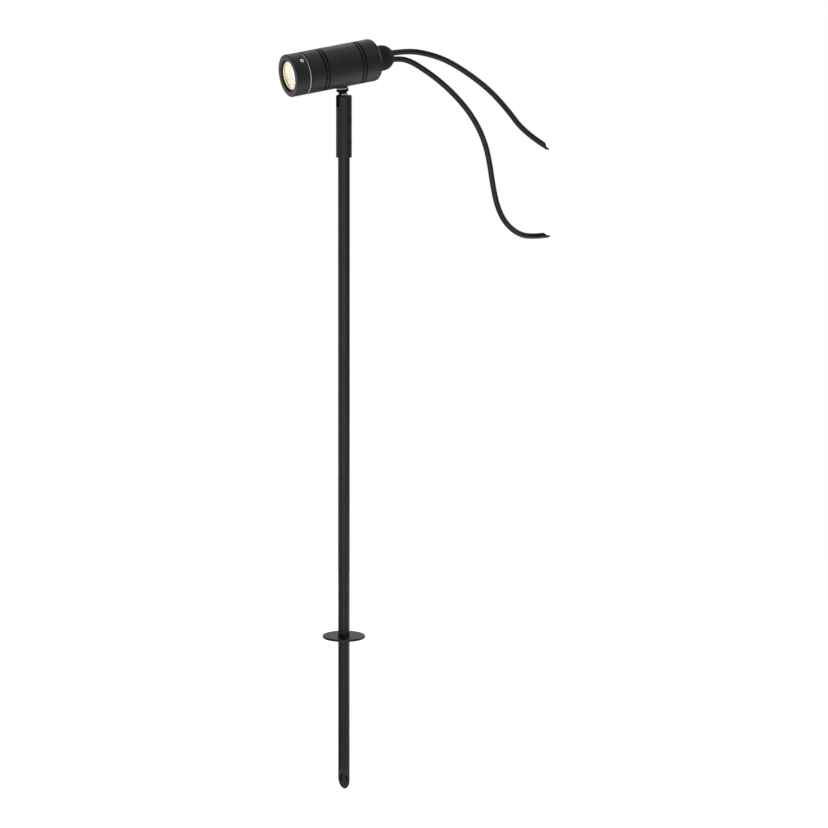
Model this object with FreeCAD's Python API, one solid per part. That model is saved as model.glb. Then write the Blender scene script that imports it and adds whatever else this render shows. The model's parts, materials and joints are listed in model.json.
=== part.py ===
import FreeCAD, Part
import math
import os

# A garden spike spotlight: a round lamp head that tilts and swivels on a slotted sleeve,
# on a thin sectioned pole with a ground disc and a hollow spike below it.
#
# Millimetres. +Z is up along the pole. The origin is on the pole's axis at ground level, which is
# the underside of the ground disc. The lamp shines towards -X and its two cables leave towards +X.

Vector = FreeCAD.Vector

# ---- fits and running clearances
joiner_clearance = 0.05
disc_recess_clearance = 0.3
sleeve_clearance = 0.05
thread_clearance = 0.05
pin_press = 0.02
pin_running = 0.05
knuckle_side_clearance = 0.10
knuckle_back_clearance = 0.20
knuckle_end_clearance = 0.40
collar_swing_clearance = 0.40
bezel_clearance = 0.10
glass_clearance = 0.20
wire_clearance = 0.05
block_clearance = 0.05
grub_screw_gap = 0.30

# ---- pole, spike and ground disc
pole_radius = 6.0
pole_wall = 2.0
section_length = 165.2
end_break = 0.3
disc_radius = 22.0
disc_thickness = 2.4
disc_edge_round = 0.7
disc_recess_depth = 0.3
spike_length = 162.5
spike_bevel_length = 24.0
spike_bevel_direction = 235.0
joiner_length = 44.0
joiner_chamfer = 0.8

# ---- sleeve and tilting knuckle
sleeve_radius = 8.0
sleeve_length = 63.0
sleeve_bore_depth = 43.5
sleeve_edge = 1.0
slot_width = 7.2
slot_depth = 11.7
pin_radius = 1.5
pin_near_skin = 1.8
pin_head_recess = 0.6
pin_socket_depth = 2.0
pin_socket_flats = 1.5
set_screw_radius = 1.5
set_screw_drops = (24.0, 48.0)
set_screw_direction = -70.0
set_screw_sink = 0.1
set_screw_socket = 1.3
knuckle_depth = 6.6
rest_tilt = 7.0

# ---- lock ring, washer and stud under the head
lock_ring_radius = 6.2
lock_ring_height = 4.5
lock_ring_edge = 0.4
lock_ring_collar_height = 1.7
lock_ring_collar_radius = 4.8
lock_ring_foot_radius = 4.3
washer_radius = 6.0
washer_height = 1.0
stud_radius = 3.0
stud_engagement = 7.4
stud_end_space = 0.4

# ---- lamp head, lengths along its axis counted back from the front face
head_radius = 21.5
head_length = 97.6
stud_station = 58.6
boss_radius = 5.2
boss_height = 0.6
rear_round = 4.5
shoulder_step_width = 1.0
shoulder_step_depth = 0.8
groove_stations = (32.3, 35.8, 74.3, 77.8)
groove_width = 1.4
groove_depth = 1.4
rear_wall = 6.0
spigot_radius = 19.3
lamp_bore_radius = 17.7
rear_bore_radius = 13.0

# ---- bezel, glass and their seals
bezel_length = 14.8
bezel_opening_radius = 14.25
bezel_lip = 2.0
bezel_front_round = 0.8
bezel_opening_chamfer = 1.7
gasket_thickness = 1.0
gasket_inset = 0.1
seal_thickness = 0.8
seal_lap = 0.4
glass_thickness = 3.0
bezel_screw_radius = 2.0
bezel_screw_station = 10.6
bezel_screw_angle = 44.0
bezel_screw_count = 3
bezel_screw_sink = 0.1
bezel_screw_socket_flats = 2.0
bezel_screw_socket_depth = 1.1

# ---- lamp
lamp_radius = 17.5
lamp_rim_gap = 0.4
lamp_rim_width = 2.0
reflector_wall = 1.2
reflector_length = 21.0
reflector_neck_radius = 6.6
reflector_neck_bore = 3.3
reflector_belly_back = 0.62
reflector_belly_out = 0.58
cover_glass_thickness = 1.2
cover_glass_seat = 0.5
capsule_radius = 3.0
capsule_front = 8.0
lamp_base_width = 15.0
lamp_base_height = 9.6
lamp_base_length = 10.0
lamp_pin_radius = 0.5
lamp_pin_spacing = 4.0
lamp_pin_length = 7.0

# ---- lamp holder and its plate
holder_width = 18.0
holder_height = 12.0
holder_length = 10.8
holder_hole_radius = 0.65
holder_plate_thickness = 1.5
holder_plate_edge_gap = 0.2
lead_window_radius = 4.0
plate_screw_radius = 1.5
plate_screw_circle = 15.3
plate_screw_length = 6.5
plate_screw_head_radius = 2.2
plate_screw_head_height = 1.6

# ---- wiring inside the head
lead_radius = 0.9
lead_spacing = 4.0
terminal_width = 18.0
terminal_height = 11.0
terminal_length = 18.0
terminal_gap = 6.0
terminal_screw_radius = 1.6
terminal_screw_height = 2.5
terminal_screw_sink = 0.5
core_radius = 0.9
core_spacing = 2.4

# ---- cable gland
gland_seal_radius = 11.8
gland_seal_thickness = 0.8
gland_radius = 13.0
gland_flange = 1.8
gland_thread_radius = 8.0
gland_bore_radius = 6.7
gland_nipple_reach = 1.5
gland_neck_radius = 10.5
gland_neck_length = 11.0
gland_nut_length = 15.9
gland_nut_straight = 6.1
gland_nut_shoulder_radius = 11.15
gland_nut_shoulder_length = 12.2
gland_nut_end_radius = 8.0
gland_nut_seam = 0.3
insert_radius = 8.9
insert_seat_depth = 9.5
insert_nose_radius = 7.1
insert_nose_chamfer = 0.5
insert_nose_reach = 1.1

# ---- cables
cable_radius = 2.9
cable_offset = 3.2
cable_inset = 10.0
upper_lead_out = 16.6
lower_lead_out = 4.0
cut_end_length = 6.5
bare_core_reaches = (1.5, 0.9)
bare_core_drop = 1.2

# Route corners beyond the gland, as steps from the middle of the gland's mouth.
upper_route = [(46.1, 2.0, -0.5), (75.1, 6.0, -12.0), (115.6, 12.0, -38.0),
               (141.1, 15.0, -62.0), (162.1, 15.0, -88.0), (183.6, 13.0, -102.0)]
lower_route = [(19.6, 0.0, -5.0), (36.1, -2.0, -15.0), (56.1, -5.5, -30.0),
               (75.6, -10.0, -50.0), (88.1, -12.5, -67.0), (97.1, -14.0, -84.0),
               (104.1, -15.0, -104.5), (111.1, -15.0, -146.0), (118.6, -14.0, -167.0),
               (130.6, -12.0, -182.0), (147.1, -9.0, -192.0), (164.1, -6.0, -194.5),
               (175.1, -4.0, -194.5)]

# ---- heights along the pole
pole_bore_radius = pole_radius - pole_wall
sleeve_bottom = disc_thickness + 3 * section_length
sleeve_top = sleeve_bottom + sleeve_length
sleeve_bore_top = sleeve_bottom + sleeve_bore_depth
slot_floor = sleeve_top - slot_depth
pin_height = slot_floor + knuckle_depth / 2 + knuckle_end_clearance

# ---- heights up the stem, counted from the tilt pin
ear_top_reach = math.sqrt((sleeve_radius - sleeve_edge) ** 2 - (slot_width / 2) ** 2)
ear_front_reach = math.sqrt(sleeve_radius ** 2 - (slot_width / 2) ** 2)
ear_corner = max(math.hypot(ear_top_reach, sleeve_top - pin_height),
                 math.hypot(ear_front_reach, sleeve_top - sleeve_edge - pin_height))
lock_ring_bottom = ear_corner + collar_swing_clearance
lock_ring_top = lock_ring_bottom + lock_ring_height
boss_bottom = lock_ring_top + washer_height
head_axis_height = boss_bottom + boss_height + head_radius

# ---- stations along the head
body_front = bezel_lip + 2 * seal_thickness + glass_thickness
spigot_back = bezel_length + gasket_thickness
bezel_bore_radius = spigot_radius + bezel_clearance
glass_radius = bezel_bore_radius - glass_clearance
rear_bore_back = head_length - rear_wall
lamp_front = body_front + lamp_rim_gap
lamp_base_back = lamp_front + reflector_length + lamp_base_length
holder_back = lamp_base_back + holder_length
lamp_bore_depth = holder_back + holder_plate_thickness
terminal_front = lamp_bore_depth + terminal_gap
terminal_back = terminal_front + terminal_length
gland_face = head_length + gland_seal_thickness
gland_flange_back = gland_face + gland_flange
gland_neck_back = gland_flange_back + gland_neck_length
insert_front = gland_neck_back - insert_seat_depth
gland_nut_front = gland_flange_back + gland_nut_seam
gland_nut_back = gland_nut_front + gland_nut_length
gland_mouth = gland_nut_back + insert_nose_reach

# The head is drawn lying along X with its axis at Z 0, and the stem upright below it.
tilt_axis = Vector(0, -1, 0)
pin_place = Vector(0, 0, pin_height)


def moved(shape, x=0.0, y=0.0, z=0.0):
    copy = shape.copy()
    copy.translate(Vector(x, y, z))
    return copy


def turned(outline):
    """A solid of revolution about X. Each entry is a corner (x, radius) or an arc (middle, end)."""
    edges = []
    start = outline[0]
    for entry in outline[1:] + [outline[0]]:
        if isinstance(entry[0], tuple):
            middle, end = entry
            arc = Part.Arc(Vector(start[0], 0, start[1]), Vector(middle[0], 0, middle[1]),
                           Vector(end[0], 0, end[1]))
            edges.append(arc.toShape())
            start = end
        else:
            line = Part.LineSegment(Vector(start[0], 0, start[1]), Vector(entry[0], 0, entry[1]))
            edges.append(line.toShape())
            start = entry
    face = Part.Face(Part.Wire(edges))
    return face.revolve(Vector(0, 0, 0), Vector(1, 0, 0), 360)


def upright(shape):
    """Stand a solid that was turned about X up on Z."""
    copy = shape.copy()
    copy.rotate(Vector(0, 0, 0), Vector(0, 1, 0), -90)
    return copy


def rod(radius, start, end):
    """A round bar from one point to another."""
    along = end - start
    return Part.makeCylinder(radius, along.Length, start, along)


def block(x_range, y_range, z_range):
    """A rectangular block between two values on each axis."""
    low = Vector(x_range[0], y_range[0], z_range[0])
    return Part.makeBox(x_range[1] - x_range[0], y_range[1] - y_range[0], z_range[1] - z_range[0], low)


def hex_socket(across_flats, depth, mouth, inward):
    """A hexagonal hole that starts at its mouth and runs inward."""
    corner = across_flats / math.sqrt(3)
    points = []
    for k in range(7):
        angle = math.radians(60 * k)
        points.append(Vector(corner * math.cos(angle), corner * math.sin(angle), 0))
    prism = Part.Face(Part.makePolygon(points)).extrude(Vector(0, 0, depth))
    prism.Placement = FreeCAD.Placement(mouth, FreeCAD.Rotation(Vector(0, 0, 1), inward))
    return prism


def on_stem(shape):
    """Lean a solid drawn with the tilt pin at the origin to the rest tilt, and seat it on the pin."""
    copy = shape.copy()
    copy.rotate(Vector(0, 0, 0), tilt_axis, rest_tilt)
    copy.translate(pin_place)
    return copy


def on_head(shape):
    """Seat a solid drawn along the head's axis, with the front face at X 0, on the leaning stem."""
    return on_stem(moved(shape, -stud_station, 0, head_axis_height))


def head_point(station, height, side=0.0):
    """The place in the row's frame of a point of the head."""
    lean = FreeCAD.Rotation(tilt_axis, rest_tilt)
    return pin_place + lean.multVec(Vector(station - stud_station, side, head_axis_height + height))


def save(node, shape):
    shape.exportStep("parts/" + node + ".step")
    print(node, len(shape.Solids), "solids", round(shape.Volume, 1), "mm3")


# ---- pole, spike and ground disc

def pole_section(index):
    """A tube with broken edges. Section 0 stands in the disc, and the last fills the sleeve's bore."""
    bottom = disc_thickness + index * section_length
    top = sleeve_bore_top if index == 2 else bottom + section_length
    if index == 0:
        bottom -= disc_recess_depth
    outline = [(bottom, pole_bore_radius), (bottom, pole_radius - end_break),
               (bottom + end_break, pole_radius), (top - end_break, pole_radius),
               (top, pole_radius - end_break), (top, pole_bore_radius)]
    return upright(turned(outline))


def ground_disc():
    """A thin flange with a shallow recess in both faces, where the tubes' ends sit."""
    hole = pole_bore_radius
    recess = pole_radius + disc_recess_clearance
    upper_floor = disc_thickness - disc_recess_depth
    rim = disc_radius - disc_edge_round
    outline = [(disc_recess_depth, hole), (disc_recess_depth, recess), (0, recess), (0, rim),
               (disc_edge_round, disc_radius), (disc_thickness - disc_edge_round, disc_radius),
               (disc_thickness, rim), (disc_thickness, recess), (upper_floor, recess), (upper_floor, hole)]
    return upright(turned(outline))


def spike_tube():
    """The buried tube, seated in the disc above and cut off slanting to a point below."""
    outline = [(-spike_length, pole_bore_radius), (-spike_length, pole_radius), (0, pole_radius),
               (disc_recess_depth, pole_radius - end_break), (disc_recess_depth, pole_bore_radius)]
    pipe = upright(turned(outline))
    slope = math.degrees(math.atan2(2 * pole_radius, spike_bevel_length))
    reach = 2 * spike_bevel_length
    cutter = block((0, reach), (-reach, reach), (-reach, reach))
    cutter.rotate(Vector(0, 0, 0), Vector(0, 1, 0), slope)
    cutter.translate(Vector(-pole_radius, 0, -spike_length))
    cutter.rotate(Vector(0, 0, 0), Vector(0, 0, 1), spike_bevel_direction)
    return pipe.cut(cutter)


def pole_joiner(middle):
    """A plug that holds two sections end to end."""
    radius = pole_bore_radius - joiner_clearance
    low = middle - joiner_length / 2
    high = middle + joiner_length / 2
    outline = [(low, 0), (low, radius - joiner_chamfer), (low + joiner_chamfer, radius),
               (high - joiner_chamfer, radius), (high, radius - joiner_chamfer), (high, 0)]
    return upright(turned(outline))


def pole_joiners():
    heights = [disc_thickness / 2]
    for index in (1, 2):
        heights.append(disc_thickness + index * section_length)
    return Part.makeCompound([pole_joiner(height) for height in heights])


# ---- sleeve with its tilt pin and set screws

def direction(degrees):
    angle = math.radians(degrees)
    return Vector(math.cos(angle), math.sin(angle), 0)


def pole_sleeve():
    """A turned bar, bored from below for the pole and slotted at the top for the knuckle."""
    body = Part.makeCylinder(sleeve_radius, sleeve_length, Vector(0, 0, sleeve_bottom))
    body = body.makeChamfer(sleeve_edge, [edge for edge in body.Edges if len(edge.Vertexes) == 1])
    bore = Part.makeCylinder(pole_radius + sleeve_clearance, sleeve_bore_depth, Vector(0, 0, sleeve_bottom))
    slot_back = knuckle_depth / 2 + knuckle_back_clearance
    half_slot = slot_width / 2
    slot = block((-2 * sleeve_radius, slot_back), (-half_slot, half_slot), (slot_floor, 2 * sleeve_top))
    near_end = Vector(0, -(sleeve_radius - pin_near_skin), pin_height)
    pin_hole = rod(pin_radius + pin_press, near_end, Vector(0, 2 * sleeve_radius, pin_height))
    body = body.cut(bore).cut(slot).cut(pin_hole)
    for drop in set_screw_drops:
        centre = Vector(0, 0, sleeve_top - drop)
        outward = direction(set_screw_direction)
        body = body.cut(rod(set_screw_radius + pin_press, centre, centre + outward * 2 * sleeve_radius))
    return body


def tilt_pin():
    """The cross pin that the knuckle turns on, driven by a socket in its far end."""
    near_end = Vector(0, -(sleeve_radius - pin_near_skin), pin_height)
    far_end = Vector(0, sleeve_radius - pin_head_recess, pin_height)
    socket = hex_socket(pin_socket_flats, pin_socket_depth, far_end, Vector(0, -1, 0))
    return rod(pin_radius, near_end, far_end).cut(socket)


def sleeve_set_screws():
    screws = []
    outward = direction(set_screw_direction)
    for drop in set_screw_drops:
        centre = Vector(0, 0, sleeve_top - drop)
        tip = centre + outward * pole_radius
        head = centre + outward * (sleeve_radius - set_screw_sink)
        # the tip follows the round pole that it bears on
        screw = rod(set_screw_radius, centre, head).cut(
            Part.makeCylinder(pole_radius, 4 * set_screw_radius, centre - Vector(0, 0, 2 * set_screw_radius)))
        socket = hex_socket(set_screw_socket, (head - tip).Length / 2, head, outward * -1)
        screws.append(screw.cut(socket))
    return Part.makeCompound(screws)


# ---- knuckle, lock ring and washer

def pivot_knuckle():
    """A flat-sided block on the tilt pin, with the head's stud standing on it."""
    half_depth = knuckle_depth / 2
    half_width = slot_width / 2 - knuckle_side_clearance
    foot = rod(half_depth, Vector(0, -half_width, 0), Vector(0, half_width, 0))
    stem = block((-half_depth, half_depth), (-half_width, half_width), (0, lock_ring_bottom))
    stud = rod(stud_radius, Vector(0, 0, lock_ring_bottom - half_depth),
               Vector(0, 0, boss_bottom + stud_engagement))
    pin_hole = rod(pin_radius + pin_running, Vector(0, -sleeve_radius, 0), Vector(0, sleeve_radius, 0))
    return foot.fuse([stem, stud]).cut(pin_hole).removeSplitter()


def lock_ring():
    """The ring nut that clamps the head on its stud."""
    bore = stud_radius + thread_clearance
    step = lock_ring_bottom + lock_ring_collar_height
    rim = lock_ring_radius - lock_ring_edge
    outline = [(lock_ring_bottom, bore), (lock_ring_bottom, lock_ring_foot_radius),
               (step, lock_ring_collar_radius), (step, rim), (step + lock_ring_edge, lock_ring_radius),
               (lock_ring_top - lock_ring_edge, lock_ring_radius), (lock_ring_top, rim),
               (lock_ring_top, bore)]
    return upright(turned(outline))


def pivot_washer():
    bore = stud_radius + thread_clearance
    outline = [(lock_ring_top, bore), (lock_ring_top, washer_radius),
               (boss_bottom, washer_radius), (boss_bottom, bore)]
    return upright(turned(outline))


# ---- head body

def head_body():
    """A turned body: a thin spigot for the bezel, the grooved barrel, and a boss for the stud."""
    middle = rear_round * (1 - math.sqrt(0.5))
    outline = [(body_front, lamp_bore_radius), (body_front, spigot_radius), (spigot_back, spigot_radius),
               (spigot_back, head_radius - shoulder_step_depth),
               (spigot_back + shoulder_step_width, head_radius - shoulder_step_depth),
               (spigot_back + shoulder_step_width, head_radius)]
    for station in groove_stations:
        outline += [(station, head_radius), (station, head_radius - groove_depth),
                    (station + groove_width, head_radius - groove_depth),
                    (station + groove_width, head_radius)]
    outline += [(head_length - rear_round, head_radius),
                ((head_length - middle, head_radius - middle), (head_length, head_radius - rear_round)),
                (head_length, gland_thread_radius + thread_clearance),
                (rear_bore_back, gland_thread_radius + thread_clearance),
                (rear_bore_back, rear_bore_radius), (lamp_bore_depth, rear_bore_radius),
                (lamp_bore_depth, lamp_bore_radius)]
    body = turned(outline)
    under = boss_bottom - head_axis_height
    skin = -(rear_bore_radius + head_radius) / 2
    boss = rod(boss_radius, Vector(stud_station, 0, under), Vector(stud_station, 0, skin))
    stud_end = under + stud_engagement + stud_end_space
    stud_hole = rod(stud_radius + pin_running, Vector(stud_station, 0, under),
                    Vector(stud_station, 0, stud_end))
    body = body.fuse(boss).cut(stud_hole)
    for place in plate_screw_places():
        start = Vector(lamp_bore_depth, place.y, place.z)
        hole = rod(plate_screw_radius + thread_clearance, start,
                   start + Vector(plate_screw_length + stud_end_space, 0, 0))
        body = body.cut(hole)
    return body.removeSplitter()


# ---- bezel group

def bezel_screw_line(index):
    """The outward direction of one bezel screw, in the plane across the head."""
    angle = math.radians(bezel_screw_angle + index * 360 / bezel_screw_count)
    return Vector(0, -math.sin(angle), math.cos(angle))


def bezel_ring():
    flat = bezel_opening_radius + bezel_opening_chamfer
    middle = bezel_front_round * (1 - math.sqrt(0.5))
    outline = [(bezel_lip, bezel_bore_radius), (bezel_lip, bezel_opening_radius),
               (bezel_opening_chamfer, bezel_opening_radius), (0, flat),
               (0, head_radius - bezel_front_round),
               ((middle, head_radius - middle), (bezel_front_round, head_radius)),
               (bezel_length, head_radius), (bezel_length, bezel_bore_radius)]
    ring = turned(outline)
    centre = Vector(bezel_screw_station, 0, 0)
    for index in range(bezel_screw_count):
        outward = bezel_screw_line(index)
        ring = ring.cut(rod(bezel_screw_radius + thread_clearance, centre + outward * spigot_radius,
                            centre + outward * 2 * head_radius))
    return ring


def bezel_grub_screws():
    """Short socket screws through the bezel, backed off just clear of the spigot."""
    screws = []
    centre = Vector(bezel_screw_station, 0, 0)
    for index in range(bezel_screw_count):
        outward = bezel_screw_line(index)
        tip = centre + outward * (spigot_radius + grub_screw_gap)
        head = centre + outward * (head_radius - bezel_screw_sink)
        socket = hex_socket(bezel_screw_socket_flats, bezel_screw_socket_depth, head, outward * -1)
        screws.append(rod(bezel_screw_radius, tip, head).cut(socket))
    return Part.makeCompound(screws)


def flat_ring(front, thickness, inner, outer):
    return turned([(front, inner), (front, outer), (front + thickness, outer), (front + thickness, inner)])


def bezel_gasket():
    inner = spigot_radius + thread_clearance
    return flat_ring(bezel_length, gasket_thickness, inner, head_radius - gasket_inset)


def front_seal():
    return flat_ring(bezel_lip, seal_thickness, bezel_opening_radius + seal_lap, glass_radius)


def front_glass():
    front = bezel_lip + seal_thickness
    return flat_disc(front, glass_thickness, glass_radius)


def rear_seal():
    return flat_ring(body_front - seal_thickness, seal_thickness, lamp_bore_radius, glass_radius)


def flat_disc(front, thickness, radius):
    return turned([(front, 0), (front, radius), (front + thickness, radius), (front + thickness, 0)])


# ---- lamp

def lamp_reflector():
    """A bowl with a rim, deep enough for the capsule, that narrows to a neck."""
    rim_back = lamp_front + lamp_rim_width
    seat = lamp_front + cover_glass_seat + cover_glass_thickness
    neck = lamp_front + reflector_length
    cover_radius = lamp_radius - reflector_wall
    bowl_front = cover_radius - reflector_wall
    outer_front = bowl_front + reflector_wall
    inner_back = neck - reflector_wall
    # the bowl's belly lies this far back, and this far out from the neck
    outer_middle = (rim_back + reflector_belly_back * (neck - rim_back),
                    reflector_neck_radius + reflector_belly_out * (outer_front - reflector_neck_radius))
    inner_middle = (seat + reflector_belly_back * (inner_back - seat), reflector_neck_bore
                    + reflector_belly_out * (bowl_front - reflector_wall - reflector_neck_bore))
    outline = [(lamp_front, cover_radius), (lamp_front, lamp_radius), (rim_back, lamp_radius),
               (rim_back, outer_front), (outer_middle, (neck, reflector_neck_radius)),
               (neck, reflector_neck_bore), (inner_back, reflector_neck_bore),
               (inner_middle, (seat, bowl_front)), (seat, cover_radius)]
    return turned(outline)


def lamp_cover_glass():
    radius = lamp_radius - reflector_wall - wire_clearance
    return flat_disc(lamp_front + cover_glass_seat, cover_glass_thickness, radius)


def lamp_capsule():
    """The quartz burner, domed at the front, standing in the reflector's neck."""
    front = lamp_front + capsule_front
    back = lamp_front + reflector_length
    dome = capsule_radius * (1 - math.sqrt(0.5))
    outline = [(front, 0), ((front + dome, capsule_radius * math.sqrt(0.5)),
                            (front + capsule_radius, capsule_radius)),
               (back, capsule_radius), (back, 0)]
    return turned(outline)


def lamp_base():
    """The ceramic block cemented on the neck."""
    front = lamp_front + reflector_length
    return block((front, lamp_base_back), (-lamp_base_width / 2, lamp_base_width / 2),
                 (-lamp_base_height / 2, lamp_base_height / 2))


def pin_pair(radius, front, back, spacing):
    pair = []
    for side in (-1, 1):
        y = side * spacing / 2
        pair.append(rod(radius, Vector(front, y, 0), Vector(back, y, 0)))
    return Part.makeCompound(pair)


def lamp_pins():
    return pin_pair(lamp_pin_radius, lamp_base_back, lamp_base_back + lamp_pin_length, lamp_pin_spacing)


# ---- lamp holder

def lamp_holder():
    body = block((lamp_base_back, holder_back), (-holder_width / 2, holder_width / 2),
                 (-holder_height / 2, holder_height / 2))
    sockets = pin_pair(holder_hole_radius, lamp_base_back,
                       lamp_base_back + lamp_pin_length + wire_clearance, lamp_pin_spacing)
    return body.cut(sockets)


def plate_screw_places():
    return [Vector(0, plate_screw_circle, 0), Vector(0, -plate_screw_circle, 0)]


def holder_plate():
    """The disc that carries the lamp holder, seated on the step in the bore."""
    plate = flat_disc(holder_back, holder_plate_thickness, lamp_bore_radius - holder_plate_edge_gap)
    window = rod(lead_window_radius, Vector(0, 0, 0), Vector(head_length, 0, 0))
    plate = plate.cut(window)
    for place in plate_screw_places():
        hole = rod(plate_screw_radius + thread_clearance, place, place + Vector(head_length, 0, 0))
        plate = plate.cut(hole)
    return plate


def holder_plate_screws():
    screws = []
    for place in plate_screw_places():
        seat = Vector(holder_back, place.y, place.z)
        head = rod(plate_screw_head_radius, seat - Vector(plate_screw_head_height, 0, 0), seat)
        end = seat + Vector(holder_plate_thickness + plate_screw_length, 0, 0)
        screws.append(head.fuse(rod(plate_screw_radius, seat, end)).removeSplitter())
    return Part.makeCompound(screws)


# ---- wiring inside the head

terminal_floor = block_clearance - math.sqrt(rear_bore_radius ** 2 - (terminal_width / 2) ** 2)
terminal_roof = terminal_floor + terminal_height


def lamp_leads():
    return pin_pair(lead_radius, holder_back, terminal_front, lead_spacing)


def terminal_screw_places():
    places = []
    for x in (terminal_front + terminal_length / 4, terminal_back - terminal_length / 4):
        for side in (-1, 1):
            places.append(Vector(x, side * terminal_width / 4, terminal_roof))
    return places


def terminal_block():
    """A two-way connector that lies in the bottom of the rear chamber."""
    body = block((terminal_front, terminal_back), (-terminal_width / 2, terminal_width / 2),
                 (terminal_floor, terminal_roof))
    for place in terminal_screw_places():
        foot = place - Vector(0, 0, terminal_screw_sink + terminal_screw_height)
        body = body.cut(rod(terminal_screw_radius + thread_clearance, foot, place + Vector(0, 0, 1)))
    return body


def terminal_screws():
    screws = []
    for place in terminal_screw_places():
        top = place - Vector(0, 0, terminal_screw_sink)
        screws.append(rod(terminal_screw_radius, top - Vector(0, 0, terminal_screw_height), top))
    return Part.makeCompound(screws)


def cable_cores():
    """Two cores of each cable, run straight from the cable's inner end to the connector."""
    start = insert_front
    spread = terminal_back - start
    target = (terminal_floor + terminal_roof) / 2
    limits = block((terminal_back, start), (-head_radius, head_radius), (-head_radius, head_radius))
    cores = []
    for height, goal_shift in ((cable_offset, 1), (-cable_offset, -1)):
        for side in (-1, 1):
            inner = Vector(start, side * core_spacing / 2, height)
            goal = Vector(terminal_back, side * terminal_width / 4, target + goal_shift * core_spacing / 2)
            step = (goal - inner) * (1 / abs(spread))
            cores.append(rod(core_radius, inner - step, goal + step).common(limits))
    return Part.makeCompound(cores)


# ---- cable gland

def gland_seal():
    return flat_ring(head_length, gland_seal_thickness, gland_thread_radius + thread_clearance,
                     gland_seal_radius)


def gland_body():
    """A threaded nipple in the rear wall, a flange on the seal and a neck for the nut."""
    seat = insert_radius + wire_clearance
    inner_end = rear_bore_back - gland_nipple_reach
    outline = [(inner_end, gland_bore_radius), (inner_end, gland_thread_radius),
               (gland_face, gland_thread_radius), (gland_face, gland_radius),
               (gland_flange_back, gland_radius), (gland_flange_back, gland_neck_radius),
               (gland_neck_back, gland_neck_radius), (gland_neck_back, seat), (insert_front, seat),
               (insert_front, gland_bore_radius)]
    return turned(outline)


def gland_nut():
    """A domed cap nut: a straight skirt, a rounded shoulder and a flat end with a round hole."""
    front = gland_nut_front
    hollow_back = gland_neck_back + thread_clearance
    bore = gland_neck_radius + thread_clearance
    hole = insert_nose_radius + wire_clearance
    shoulder = (front + gland_nut_shoulder_length, gland_nut_shoulder_radius)
    outline = [(front, bore), (front, gland_radius), (front + gland_nut_straight, gland_radius),
               (shoulder, (gland_nut_back, gland_nut_end_radius)), (gland_nut_back, hole),
               (hollow_back, hole), (hollow_back, bore)]
    return turned(outline)


def gland_insert():
    """The rubber plug that grips both cables, with its round nose out of the nut."""
    outline = [(insert_front, 0), (insert_front, insert_radius), (gland_neck_back, insert_radius),
               (gland_neck_back, insert_nose_radius),
               (gland_mouth - insert_nose_chamfer, insert_nose_radius),
               (gland_mouth, insert_nose_radius - insert_nose_chamfer), (gland_mouth, 0)]
    plug = turned(outline)
    for height in (cable_offset, -cable_offset):
        plug = plug.cut(rod(cable_radius + wire_clearance, Vector(0, 0, height),
                            Vector(2 * gland_mouth, 0, height)))
    return plug


# ---- cables

def cable_entries():
    """The straight stretches of both cables inside the gland."""
    entries = []
    for height in (cable_offset, -cable_offset):
        entries.append(rod(cable_radius, Vector(insert_front, 0, height),
                           Vector(gland_mouth - cable_inset, 0, height)))
    return Part.makeCompound(entries)


def cable_points(height, lead_out, route):
    """The corners of one free cable: straight out of the gland, then along its route."""
    mouth = head_point(gland_mouth, 0)
    points = [head_point(gland_mouth - cable_inset, height), head_point(gland_mouth + lead_out, height)]
    for step in route:
        points.append(mouth + Vector(*step))
    return points


def cable_path(name, points):
    """Straight runs joined by tangent arcs, each as large as its two runs allow."""
    edges = []
    radii = []
    last = points[0]
    for before, corner, after in zip(points, points[1:], points[2:]):
        back = before - corner
        ahead = after - corner
        half_turn = (math.pi - back.getAngle(ahead)) / 2
        cut = 0.45 * min(back.Length, ahead.Length)
        radius = cut / math.tan(half_turn)
        radii.append(round(radius, 1))
        start = corner + back.normalize() * cut
        end = corner + ahead.normalize() * cut
        inward = (start + end) * 0.5 - corner
        to_centre = radius / math.cos(half_turn)
        middle = corner + inward.normalize() * (to_centre - radius)
        edges.append(Part.LineSegment(last, start).toShape())
        edges.append(Part.Arc(start, middle, end).toShape())
        last = end
    edges.append(Part.LineSegment(last, points[-1]).toShape())
    print(name, "bend radii", radii)
    return Part.Wire(edges)


def cable(name, height, lead_out, route):
    """A free cable, swept round its path from inside the gland to its cut end."""
    points = cable_points(height, lead_out, route)
    path = cable_path(name, points)
    start_way = points[1] - points[0]
    profile = Part.Wire(Part.makeCircle(cable_radius, points[0], start_way))
    solid = path.makePipeShell([profile], True, False)
    expected = math.pi * cable_radius ** 2 * path.Length
    print(name, "length", round(path.Length, 1), "volume over section times length",
          round(solid.Volume / expected, 5))
    return solid


def cable_end(height, lead_out, route):
    """The last bit of sheath, cut off slanting, and the two cores that stand out of its lower lip."""
    points = cable_points(height, lead_out, route)
    end = points[-1]
    way = (end - points[-2]).normalize()
    side = Vector(0, 0, 1).cross(way).normalize()
    up = way.cross(side)
    lip = end + way * cut_end_length
    tip = rod(cable_radius, end, lip)
    # a block whose lower face runs from the sheath's upper edge to the lip's lower edge
    slope = math.atan2(2 * cable_radius, cut_end_length)
    size = 2 * (cut_end_length + 2 * cable_radius)
    cutter = block((-size, size), (-size, size), (0, size))
    across = way * math.cos(slope) - up * math.sin(slope)
    normal = side.cross(across) * -1
    turn = FreeCAD.Rotation(across, side, normal, "ZXY")
    cutter.Placement = FreeCAD.Placement(end + up * cable_radius, turn)
    tip = tip.cut(cutter)
    cores = []
    for shift, reach in zip((-core_spacing / 2, core_spacing / 2), bare_core_reaches):
        offset = side * shift - up * bare_core_drop
        cores.append(rod(core_radius, end + offset, lip + way * reach + offset).cut(tip))
    return Part.makeCompound([tip] + cores)


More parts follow.
